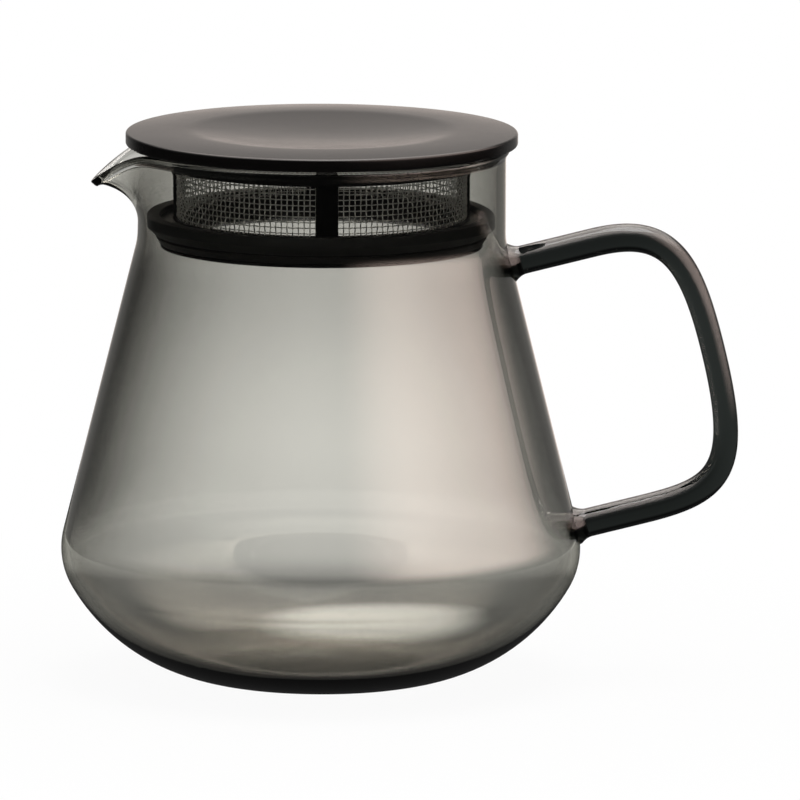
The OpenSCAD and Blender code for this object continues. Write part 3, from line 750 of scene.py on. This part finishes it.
class CARAFE_OT_glass_handle(bpy.types.Operator):
    """Builds the bent glass rod that is welded to the cone at two collars"""

    bl_idname = "carafe.glass_handle"
    bl_label = "Glass handle"

    def execute(self, context):
        v, h = groups()[:2]
        # Drawn rod, bent hot: long faint streaks along it, thick enough to look almost black, and painted
        # shade where it is seen at a slant
        glass = tinted_glass(
            "smoke_borosilicate_drawn",
            h.tint,
            h.density,
            h.edge,
            thinned=(v.neck_r, v.body_r, 1.0),
            zoned=False,
            ripple_mm=9,
            ripple_depth=0.004 * MM,
            stretch=(1, 1, 0.4),
        )
        shoulder, _, neck_z, cone_a, foot = vessel_lines(v)
        lean = math.radians(cone_a)
        arm = Vector((math.cos(lean), math.sin(lean)))

        def outside(z):
            if z > foot.y:
                return foot.x - (z - foot.y) * math.tan(lean)
            return shoulder.x + math.sqrt(v.shoulder_r**2 - (z - shoulder.y) ** 2)

        def radius(along, from_weld):
            grip = h.grip_d / 2 + (h.arm_d - h.grip_d) / 2 * (1 - math.cos(math.pi * along)) / 2
            return grip + h.collar_out * max(0.0, 1 - from_weld / h.collar_len) ** 2

        def ring(p, heading, r):
            side = r * Vector((heading.y, -heading.x)).normalized()
            turns = [(math.cos(a), math.sin(a)) for a in even_turns(ROD_POINTS)]
            return [(p.x + cos * side.x, r * sin, p.y + cos * side.y) for cos, sin in turns]

        def laid_on(points):
            return [(math.sqrt((outside(z) + WELD_GAP) ** 2 - y * y), y, z) for _, y, z in points]

        upper_z, lower_z = neck_z - h.upper_drop, foot.y + h.lower_rise
        welds = [Vector((outside(z), z)) for z in (upper_z, lower_z)]
        grip = Vector((v.body_r + h.grip_out, lower_z + h.grip_share * (upper_z - lower_z)))
        down = Vector((math.sin(h.grip_lean), -math.cos(h.grip_lean)))
        # How far each bend's two guide points lie towards its corner, from the arm and from the grip
        upper_reach, lower_reach = (0.85, 0.71), (0.74, 0.93)
        ways = ((welds[0], h.upper_arm, upper_reach), (welds[1], h.lower_arm, lower_reach))
        halves = []
        for weld, straight, reaches in ways:
            rings = [laid_on(ring(weld, arm, inward * radius(1, 0))) for inward in (0.33, 0.67, 1)]
            for i in range(1, COLLAR_RINGS + 1):
                d = h.collar_len * i / COLLAR_RINGS
                rings.append(ring(weld + d * arm, arm, radius(1, d)))
            start = weld + straight * arm
            between = grip - start
            corner = start + arm * between.cross(down) / arm.cross(down)
            b = [start, start + reaches[0] * (corner - start), grip + reaches[1] * (corner - grip), grip]
            for i in range(BEND_RINGS + 1):
                t = i / BEND_RINGS
                u = 1 - t
                p = u**3 * b[0] + 3 * u * u * t * b[1] + 3 * u * t * t * b[2] + t**3 * b[3]
                way = u * u * (b[1] - b[0]) + 2 * u * t * (b[2] - b[1]) + t * t * (b[3] - b[2])
                rings.append(ring(p, way, radius(u, h.collar_len)))
            halves.append(rings)
        # The lower half runs the other way, so its rings are read backwards from their far side
        order = [(ROD_POINTS // 2 - j) % ROD_POINTS for j in range(ROD_POINTS)]
        lower = [[points[j] for j in order] for points in halves[1]]
        rod = bmesh.new()
        ends = [(weld.x + WELD_GAP, 0, weld.y) for weld in welds]
        lofted(rod, halves[0] + lower[-2::-1], *ends)
        finished("handle_glass", rod, glass, "vessel", "handle_glass", "glass_handle", sharp=50)
        return {"FINISHED"}


class CARAFE_OT_lid(bpy.types.Operator):
    """Builds the moulded lid with its dished top, spigot and twist-lock lugs"""

    bl_idname = "carafe.lid"
    bl_label = "Lid"

    def execute(self, context):
        d = groups()[2]
        # Spark-eroded satin: a fine even grain that turns grazing light into a soft grey glow. The real grain
        # is finer than a pixel, so it is drawn about half a millimetre wide
        plastic = moulded_plastic(
            "polypropylene_satin_moulded",
            d.plastic,
            roughness=0.2,
            gloss=0.3,
            grain_mm=0.45,
            grain_depth=0.006 * MM,
            blotch_mm=14,
        )
        border_r = d.lid_r - d.border_w
        dish_r = border_r - d.brow_w
        floor_z = d.crest_z - d.dish_depth
        brow_h = d.dish_depth * d.brow_w / border_r
        edge_z = d.crest_z - d.border_fall - d.top_round
        spigot_z = LID_LOW.z
        top = []
        for i in range(DISH_STEPS + 1):
            t = i / DISH_STEPS
            top.append((dish_r * t, floor_z + (d.dish_depth - brow_h) * t * t))
        for i in range(1, BROW_STEPS + 1):
            t = i / BROW_STEPS
            top.append((dish_r + d.brow_w * t, d.crest_z - brow_h * (1 - t) ** 2))
        for i in range(1, BORDER_STEPS + 1):
            t = i / BORDER_STEPS
            top.append((border_r + (d.border_w - d.top_round) * t, d.crest_z - d.border_fall * t * t))
        # The upper edge starts a little past its top, where the falling border runs into it
        edge = arc((d.lid_r - d.top_round, edge_z), d.top_round, 82, 0, EDGE_STEPS)
        foot = arc((d.lid_r - d.foot_round, d.lid_z + d.foot_round), d.foot_round, 0, -90, FOOT_STEPS)
        side = line(edge[-1], foot[0], SIDE_STEPS)
        lug_r = d.spigot_r + d.lug_out
        under = [
            (d.spigot_r, d.lid_z),
            (d.spigot_r, spigot_z + d.lug_h),
            (lug_r, spigot_z + d.lug_h),
            (lug_r, spigot_z),
            (d.spigot_r - d.spigot_wall, spigot_z),
            (d.spigot_r - d.spigot_wall, d.lid_z),
            (0, d.lid_z),
        ]
        half = d.lug_len / d.spigot_r / 2
        turns = even_turns(LID_COLUMNS)
        for middle in even_turns(d.lugs):
            for end in (-half, half):
                turns += [(middle + end + shift) % FULL_TURN for shift in (-LUG_STEP, LUG_STEP)]

        def place(a, r, z):
            # Between the lugs the section falls back to the plain spigot
            off = (a + half) % (FULL_TURN / d.lugs)
            if abs(r - lug_r) < 1e-6 and z < d.lid_z and off > 2 * half:
                r = d.spigot_r
            return turned(a, r, z)

        solid = revolved(top + edge + side + foot + under, sorted(turns), place)
        finished("lid_moulding", solid, plastic, "lid", "lid_plastic", "lid_cover", sharp=40)
        return {"FINISHED"}


def window_turns(s):
    """Start of each window's angle and the angle that it spans."""
    post_a = 2 * math.asin(s.post_w / 2 / s.cage_r)
    pitch = FULL_TURN / s.windows
    first = s.post_turn - math.pi / 2 + post_a / 2
    return [first + pitch * i for i in range(s.windows)], pitch - post_a


class CARAFE_OT_strainer_frame(bpy.types.Operator):
    """Builds the moulded cage with its windows, shelf and seal groove"""

    bl_idname = "carafe.strainer_frame"
    bl_label = "Strainer frame"

    def execute(self, context):
        s = groups()[3]
        # Polished tool: glossy black with a faint flow grain, and rounded edges that catch lines of light
        plastic = moulded_plastic(
            "polypropylene_gloss_moulded",
            s.plastic,
            roughness=0.26,
            gloss=0.1,
            grain_mm=0.8,
            grain_depth=0.002 * MM,
            blotch_mm=9,
        )
        shelf_z = s.cage_z + s.shelf_h
        window_z = shelf_z + s.sill_h
        window_top = window_z + s.window_h
        groove_z = s.cage_z + s.foot_t
        groove_top = shelf_z - s.shelf_t
        section = [
            (s.cage_in_r, s.cage_z + s.funnel_h),
            (s.shelf_r - s.foot_bevel - s.foot_rim, s.cage_z),
            (s.shelf_r - s.foot_bevel, s.cage_z),
            (s.shelf_r, s.cage_z + s.foot_bevel),
            (s.shelf_r, groove_z),
            (s.groove_r, groove_z),
            (s.groove_r, groove_top),
            (s.shelf_r, groove_top),
            (s.shelf_r, shelf_z),
            (s.cage_r, shelf_z),
            (s.cage_r, window_z),
            (s.cage_r, window_top),
            (s.cage_r, s.cage_top),
            (s.cage_in_r, s.cage_top),
            (s.cage_in_r, window_top),
            (s.cage_in_r, window_z),
        ]
        # Corners of a window: outside low and high, inside high and low
        corners = (
            (s.cage_r, window_z),
            (s.cage_r, window_top),
            (s.cage_in_r, window_top),
            (s.cage_in_r, window_z),
        )
        opening = [section.index(corner) for corner in corners]
        out_low, out_high, in_high, in_low = opening
        round_it = [(i, (i + 1) % len(section)) for i in range(len(section))]
        past_window = [e for e in round_it if e not in ((out_low, out_high), (in_high, in_low))]
        past_window += [(in_low, out_low), (out_high, in_high)]
        starts, span = window_turns(s)
        post = FULL_TURN / s.windows - span
        turns = []
        for start in starts:
            turns += [(start + span * i / WINDOW_COLUMNS, True) for i in range(WINDOW_COLUMNS)]
            turns += [(start + span + post * i / POST_COLUMNS, False) for i in range(POST_COLUMNS)]
        cage = bmesh.new()
        columns = [[cage.verts.new(turned(a, r, z)) for r, z in section] for a, _ in turns]
        for j, (_, open_here) in enumerate(turns):
            here, there = columns[j], columns[(j + 1) % len(columns)]
            for i, k in past_window if open_here else round_it:
                cage.faces.new((here[i], there[i], there[k], here[k]))
            if open_here != turns[j - 1][1]:
                cage.faces.new([here[i] for i in opening])
        bmesh.ops.recalc_face_normals(cage, faces=cage.faces)
        crisp = [e for e in cage.edges if e.calc_face_angle(0) > math.radians(30)]
        bmesh.ops.bevel(
            cage, geom=crisp, offset=s.edge_round, segments=2, affect="EDGES", profile=0.5, clamp_overlap=True
        )
        finished("strainer_moulding", cage, plastic, "strainer", "frame_plastic", "strainer_frame", sharp=40)
        return {"FINISHED"}


class CARAFE_OT_woven_mesh(bpy.types.Operator):
    """Weaves the four panels of steel wire mesh"""

    bl_idname = "carafe.woven_mesh"
    bl_label = "Woven mesh"

    def execute(self, context):
        s = groups()[3]
        # Drawn wire: each round strand shows a bright line and a dark side. The die's marks are finer than a
        # pixel, so they are drawn a little wider than the wire
        steel = drawn_steel_wire("stainless_steel_woven", s.steel, draw_mm=0.4)
        starts, span = window_turns(s)
        low = s.cage_z + s.shelf_h + s.sill_h
        columns = round(span * s.mesh_r / s.wire_pitch)
        rows = round(s.window_h / s.wire_pitch)
        wire_r = s.wire_d / 2
        wire = [(wire_r * math.sin(w), wire_r * math.cos(w)) for w in even_turns(WIRE_POINTS)]

        def marks(crossings, held):
            steps = WEAVE_STEPS * crossings
            return [min(max(i / steps, -held), 1 + held) for i in range(-1, steps + 2)]

        names = ("front_handle_side", "back_handle_side", "back_spout_side", "front_spout_side")
        for start, name in zip(starts, names):
            panel = bmesh.new()
            for c in range(columns + 1):
                a = start + span * c / columns
                rings = []
                for t in marks(rows, s.wire_hold / s.window_h):
                    r = s.mesh_r + wire_r * math.cos(math.pi * (t * rows - 0.5 + c))
                    rings.append([turned(a + x / r, r + y, low + s.window_h * t) for x, y in wire])
                lofted(panel, rings)
            for k in range(rows):
                z = low + s.window_h * (k + 0.5) / rows
                rings = []
                for t in marks(columns, s.wire_hold / s.mesh_r / span):
                    r = s.mesh_r - wire_r * math.cos(math.pi * (t * columns + k))
                    rings.append([turned(start + span * t, r + y, z + x) for x, y in wire])
                lofted(panel, rings)
            finished("woven_mesh_" + name, panel, steel, "strainer", "mesh_steel", "mesh_" + name, sharp=70)
        return {"FINISHED"}


class CARAFE_OT_seal(bpy.types.Operator):
    """Builds the silicone seal with its two lips"""

    bl_idname = "carafe.seal"
    bl_label = "Seal"

    def execute(self, context):
        s = groups()[3]
        # Moulded rubber: dull black, with soft edges and a faint bloom
        rubber = moulded_silicone("silicone_rubber_moulded", s.silicone, bloom_mm=3)
        hold_r = s.groove_r + s.seal_gap
        edge_r = s.shelf_r + s.seal_gap
        groove_top = s.cage_z + s.shelf_h - s.shelf_t - s.seal_gap
        low_top = s.seal_z + s.low_lip_h
        low_r = s.shelf_r + s.low_lip_reach
        section = [
            (hold_r, s.seal_z),
            (edge_r, s.seal_z),
            (low_r, low_top),
            (low_r - s.notch_d, low_top),
            (low_r - s.notch_d, low_top + s.notch_h),
            (low_r, low_top + s.notch_h),
            (s.seal_r, s.seal_top - s.seal_face),
            (s.seal_r, s.seal_top),
            (edge_r, s.seal_top),
            (edge_r, groove_top),
            (hold_r, groove_top),
        ]
        solid = revolved(rounded(section, s.seal_round), even_turns(SEAL_COLUMNS), closed=True)
        finished("seal_silicone", solid, rubber, "strainer", "seal_silicone", "seal_ring", sharp=50)
        return {"FINISHED"}


# Patches of soft light that show in gloss only. Each has its direction, the angles in degrees within which
# it is full and past which it ends, the sines of elevation at which it starts and is full, its level and
# colour, and the fewest and most faces of glass that it shines through
SOFT_BOXES = (
    ((0.96, -0.28, 0.25), 10, 62, -0.1, 0.2, 4.0, "#ffe6dc", 0, 2),
    ((-0.94, -0.20, 0.30), 15, 45, 0.04, 0.24, 0.3, "#eef6f0", 0, 9),
    ((0.04, 1.00, 0.15), 12, 24, -0.6, -0.3, 0.3, "#fff2ea", 0, 9),
    ((0.04, 1.00, -0.06), 2, 12, -0.6, -0.3, 0.6, "#ffeade", 0, 9),
    ((0.15, 1.00, 0.02), 20, 58, -0.6, -0.3, 0.2, "#f6f4f0", 0, 9),
    ((0.05, 0.10, 1.00), 30, 60, -0.9, -0.8, 4.5, "#fff4ec", 0, 9),
    ((0.00, -0.80, 0.60), 20, 62, 0.10, 0.34, 1.7, "#fdfdfb", 3, 9),
)
# Sines of elevation past which glass shows no white background, and within which it shows it in full
BACKGROUND_END, BACKGROUND_FULL = 0.45, 0.22
# Sine of elevation from which the overhead light rises, and its level up to there and straight overhead
DOME_START, DOME_LOW, DOME_HIGH = 0.3, 0.02, 0.8


class CARAFE_OT_studio(bpy.types.Operator):
    """Sets the camera, the pale table top, the soft light and the white surroundings"""

    bl_idname = "carafe.studio"
    bl_label = "Studio"

    def execute(self, context):
        scene = context.scene
        scene.view_settings.view_transform = "Standard"
        studio = groups()[4]

        lens = bpy.data.cameras.new("photo_camera")
        lens.lens = studio.lens
        lens.sensor_width = 36.0
        lens.clip_end = 50.0
        camera = bpy.data.objects.new("photo_camera", lens)
        target = Vector(studio.target)
        back = Vector((0, -math.cos(studio.elevation), math.sin(studio.elevation)))
        camera.location = target + studio.distance * back
        camera.rotation_euler = (back.to_track_quat("Z", "Y") @ Quaternion((0, 0, 1), studio.roll)).to_euler()
        scene.collection.objects.link(camera)
        scene.camera = camera

        # Matt paper laminate: even and pale, faintly fibrous, white to the eye and with a soft shadow
        paper, output = empty_material("paper_laminate_matt")
        tree = paper.node_tree
        place = add_node(tree, "TexCoord")
        fibre = add_node(
            tree, "TexNoise", {"Scale": per_metre(6), "Detail": 4.0}, {"Vector": place.outputs["Object"]}
        )
        shade = add_node(
            tree,
            "Mix",
            {"A": (*[0.97 * c for c in studio.paper], 1.0), "B": (*studio.paper, 1.0)},
            {"Factor": fibre.outputs["Fac"]},
            data_type="RGBA",
        )
        matt = add_node(tree, "BsdfDiffuse", links={"Color": shade.outputs["Result"]})
        spread = add_node(tree, "VectorMath", links={0: place.outputs["Object"]}, operation="LENGTH")
        off = add_node(
            tree,
            "VectorMath",
            {1: (studio.pool_x, studio.pool_y, 0.0)},
            {0: place.outputs["Object"]},
            operation="DISTANCE",
        )
        # Levels by distance, painted into the table top's glow: the camera's share of white, then, as glass
        # sees them, the painted shadow under the base, the open table top, its far rim and a painted pool of
        # light
        clean, shaded, open_top, far, pool = (
            add_node(
                tree,
                "MapRange",
                {"From Min": start, "From Max": end, "To Min": low, "To Max": high},
                {"Value": distance.outputs["Value"]},
                interpolation_type="SMOOTHSTEP",
            ).outputs["Result"]
            for distance, start, end, low, high in (
                (spread, studio.shadow_r, studio.fade_r, studio.floor_white, 1.0),
                (spread, studio.dark_r, studio.shadow_r, studio.base_dark, studio.floor_glass),
                (spread, studio.shadow_r, studio.open_r, 0.0, studio.open_level),
                (spread, studio.far_r, studio.floor_r, 0.0, 1 - studio.open_level),
                (off, studio.pool_r, studio.pool_core * studio.pool_r, 0.0, studio.pool),
            )
        )
        through = shaded
        for lighter, how in ((open_top, "MAXIMUM"), (pool, "MAXIMUM"), (far, "ADD")):
            joined = add_node(tree, "Math", links={0: through, 1: lighter}, operation=how)
            through = joined.outputs["Value"]
        path = add_node(tree, "LightPath")
        seen = add_node(
            tree, "Math", links={0: path.outputs["Is Camera Ray"], 1: clean}, operation="MULTIPLY"
        )
        white = add_node(tree, "Emission", {"Color": WHITE, "Strength": 1.0})
        mirrored = add_node(tree, "Emission", {"Color": WHITE, "Strength": studio.floor_gloss})
        glimpsed = add_node(tree, "Emission", {"Color": WHITE}, {"Strength": through})
        surface = matt.outputs["BSDF"]
        for part, glow in (
            (seen.outputs["Value"], white),
            (path.outputs["Is Glossy Ray"], mirrored),
            (path.outputs["Is Transmission Ray"], glimpsed),
        ):
            mixed = add_node(tree, "MixShader", links={0: part, 1: surface, 2: glow.outputs["Emission"]})
            surface = mixed.outputs["Shader"]
        tree.links.new(surface, output.inputs["Surface"])
        edge_r = studio.floor_r + studio.floor_edge
        section = [(0, 0), (studio.floor_r / 2, 0), (studio.floor_r, 0), (edge_r, -studio.floor_edge)]
        table = revolved(section, even_turns(TABLE_COLUMNS))
        bmesh.ops.recalc_face_normals(table, faces=table.faces)
        bmesh.ops.translate(table, verts=table.verts, vec=(0, 0, -studio.floor_drop))
        mesh = bpy.data.meshes.new("table_top")
        table.to_mesh(mesh)
        table.free()
        mesh.shade_smooth()
        mesh.materials.append(paper)
        floor = bpy.data.objects.new("table_top", mesh)
        scene.collection.objects.link(floor)

        world = bpy.data.worlds.new("white_studio")
        world.use_nodes = True
        tree = world.node_tree
        tree.nodes.clear()
        place = add_node(tree, "TexCoord")
        axes = add_node(tree, "SeparateXYZ", links={"Vector": place.outputs["Generated"]})
        steep = add_node(tree, "Math", links={0: axes.outputs["Z"]}, operation="ABSOLUTE")
        background = add_node(
            tree,
            "MapRange",
            {"From Min": BACKGROUND_END, "From Max": BACKGROUND_FULL},
            {"Value": steep.outputs["Value"]},
            interpolation_type="SMOOTHSTEP",
        )
        dome = add_node(
            tree,
            "MapRange",
            {"From Min": DOME_START, "From Max": 1.0, "To Min": DOME_LOW, "To Max": DOME_HIGH},
            {"Value": axes.outputs["Z"]},
            interpolation_type="SMOOTHSTEP",
        )
        path = add_node(tree, "LightPath")
        # 1 for a ray that gloss has mirrored at least once
        gloss = add_node(
            tree, "Math", {1: 0.0}, {0: path.outputs["Glossy Depth"]}, operation="ADD", use_clamp=True
        )
        light = add_node(tree, "Background", {"Color": WHITE}, {"Strength": dome.outputs["Result"]})
        for toward, inner, outer, low, full, level, code, fewest, most in SOFT_BOXES:
            near = add_node(
                tree,
                "VectorMath",
                {1: Vector(toward).normalized()},
                {0: place.outputs["Generated"]},
                operation="DOT_PRODUCT",
            )
            end, start = (math.cos(math.radians(turn)) for turn in (outer, inner))
            factors = [
                add_node(
                    tree,
                    "MapRange",
                    {"From Min": lowest, "From Max": highest, "To Max": top},
                    {"Value": value},
                    interpolation_type="SMOOTHSTEP",
                )
                for value, lowest, highest, top in (
                    (near.outputs["Value"], end, start, level),
                    (axes.outputs["Z"], low, full, 1.0),
                )
            ]
            factors += [
                add_node(tree, "Math", {1: faces}, {0: path.outputs["Transmission Depth"]}, operation=test)
                for faces, test in ((most + 0.5, "LESS_THAN"), (fewest - 0.5, "GREATER_THAN"))
            ]
            strength = gloss.outputs["Value"]
            for factor in factors:
                product = add_node(
                    tree, "Math", links={0: strength, 1: factor.outputs[0]}, operation="MULTIPLY"
                )
                strength = product.outputs["Value"]
            soft = add_node(tree, "Background", {"Color": (*linear(code), 1)}, {"Strength": strength})
            light = add_node(tree, "AddShader", links={0: light.outputs[0], 1: soft.outputs[0]})
        bounced = add_node(
            tree,
            "Math",
            links={0: path.outputs["Diffuse Depth"], 1: path.outputs["Glossy Depth"]},
            operation="ADD",
            use_clamp=True,
        )
        # The camera sees plain white, and so does glass where it looks nearly level and nothing was mirrored
        plain = path.outputs["Is Transmission Ray"]
        for other, how in (
            (bounced.outputs["Value"], "SUBTRACT"),
            (background.outputs["Result"], "MULTIPLY"),
            (path.outputs["Is Camera Ray"], "ADD"),
        ):
            joined = add_node(tree, "Math", links={0: plain, 1: other}, operation=how, use_clamp=True)
            plain = joined.outputs["Value"]
        backdrop = add_node(tree, "Background", {"Color": WHITE, "Strength": 1.0})
        surround = add_node(
            tree, "MixShader", links={0: plain, 1: light.outputs[0], 2: backdrop.outputs["Background"]}
        )
        add_node(tree, "OutputWorld", links={"Surface": surround.outputs["Shader"]})
        scene.world = world

        lamp = bpy.data.lights.new("softbox_top", "AREA")
        lamp.shape = "SQUARE"
        lamp.size = studio.lamp_size
        lamp.energy = studio.lamp_watts
        softbox = bpy.data.objects.new("softbox_top", lamp)
        softbox.location = studio.lamp_at
        softbox.rotation_euler = (Vector(studio.lamp_at) - target).to_track_quat("Z", "Y").to_euler()
        scene.collection.objects.link(softbox)
        return {"FINISHED"}


GROUPS = (
    ("carafe_vessel", CarafeVesselSizes),
    ("carafe_handle", CarafeHandleSizes),
    ("carafe_lid", CarafeLidSizes),
    ("carafe_strainer", CarafeStrainerSizes),
    ("carafe_studio", CarafeStudioSizes),
)
OPERATORS = (
    CARAFE_OT_studio,
    CARAFE_OT_glass_vessel,
    CARAFE_OT_glass_handle,
    CARAFE_OT_lid,
    CARAFE_OT_strainer_frame,
    CARAFE_OT_woven_mesh,
    CARAFE_OT_seal,
)


class CARAFE_PT_sidebar(bpy.types.Panel):
    """Lists the carafe's sizes and the buttons that build its pieces"""

    bl_label = "Coffee server carafe"
    bl_idname = "CARAFE_PT_sidebar"
    bl_space_type = "VIEW_3D"
    bl_region_type = "UI"
    bl_category = "Carafe"

    def draw(self, context):
        for group_name, kind in GROUPS:
            box = self.layout.box()
            box.label(text=kind.__doc__)
            for name in kind.__annotations__:
                box.prop(getattr(context.scene, group_name), name)
        for operator in OPERATORS:
            self.layout.operator(operator.bl_idname)


def register():
    for name, kind in GROUPS:
        bpy.utils.register_class(kind)
        setattr(bpy.types.Scene, name, bpy.props.PointerProperty(type=kind))
    for kind in OPERATORS + (CARAFE_PT_sidebar,):
        bpy.utils.register_class(kind)


def unregister():
    for kind in (CARAFE_PT_sidebar,) + OPERATORS[::-1]:
        bpy.utils.unregister_class(kind)
    for name, kind in GROUPS[::-1]:
        delattr(bpy.types.Scene, name)
        bpy.utils.unregister_class(kind)


def main():
    register()
    bpy.ops.carafe.studio()
    bpy.ops.carafe.glass_vessel()
    bpy.ops.carafe.glass_handle()
    bpy.ops.carafe.lid()
    bpy.ops.carafe.strainer_frame()
    bpy.ops.carafe.woven_mesh()
    bpy.ops.carafe.seal()


if __name__ == "__main__":
    main()
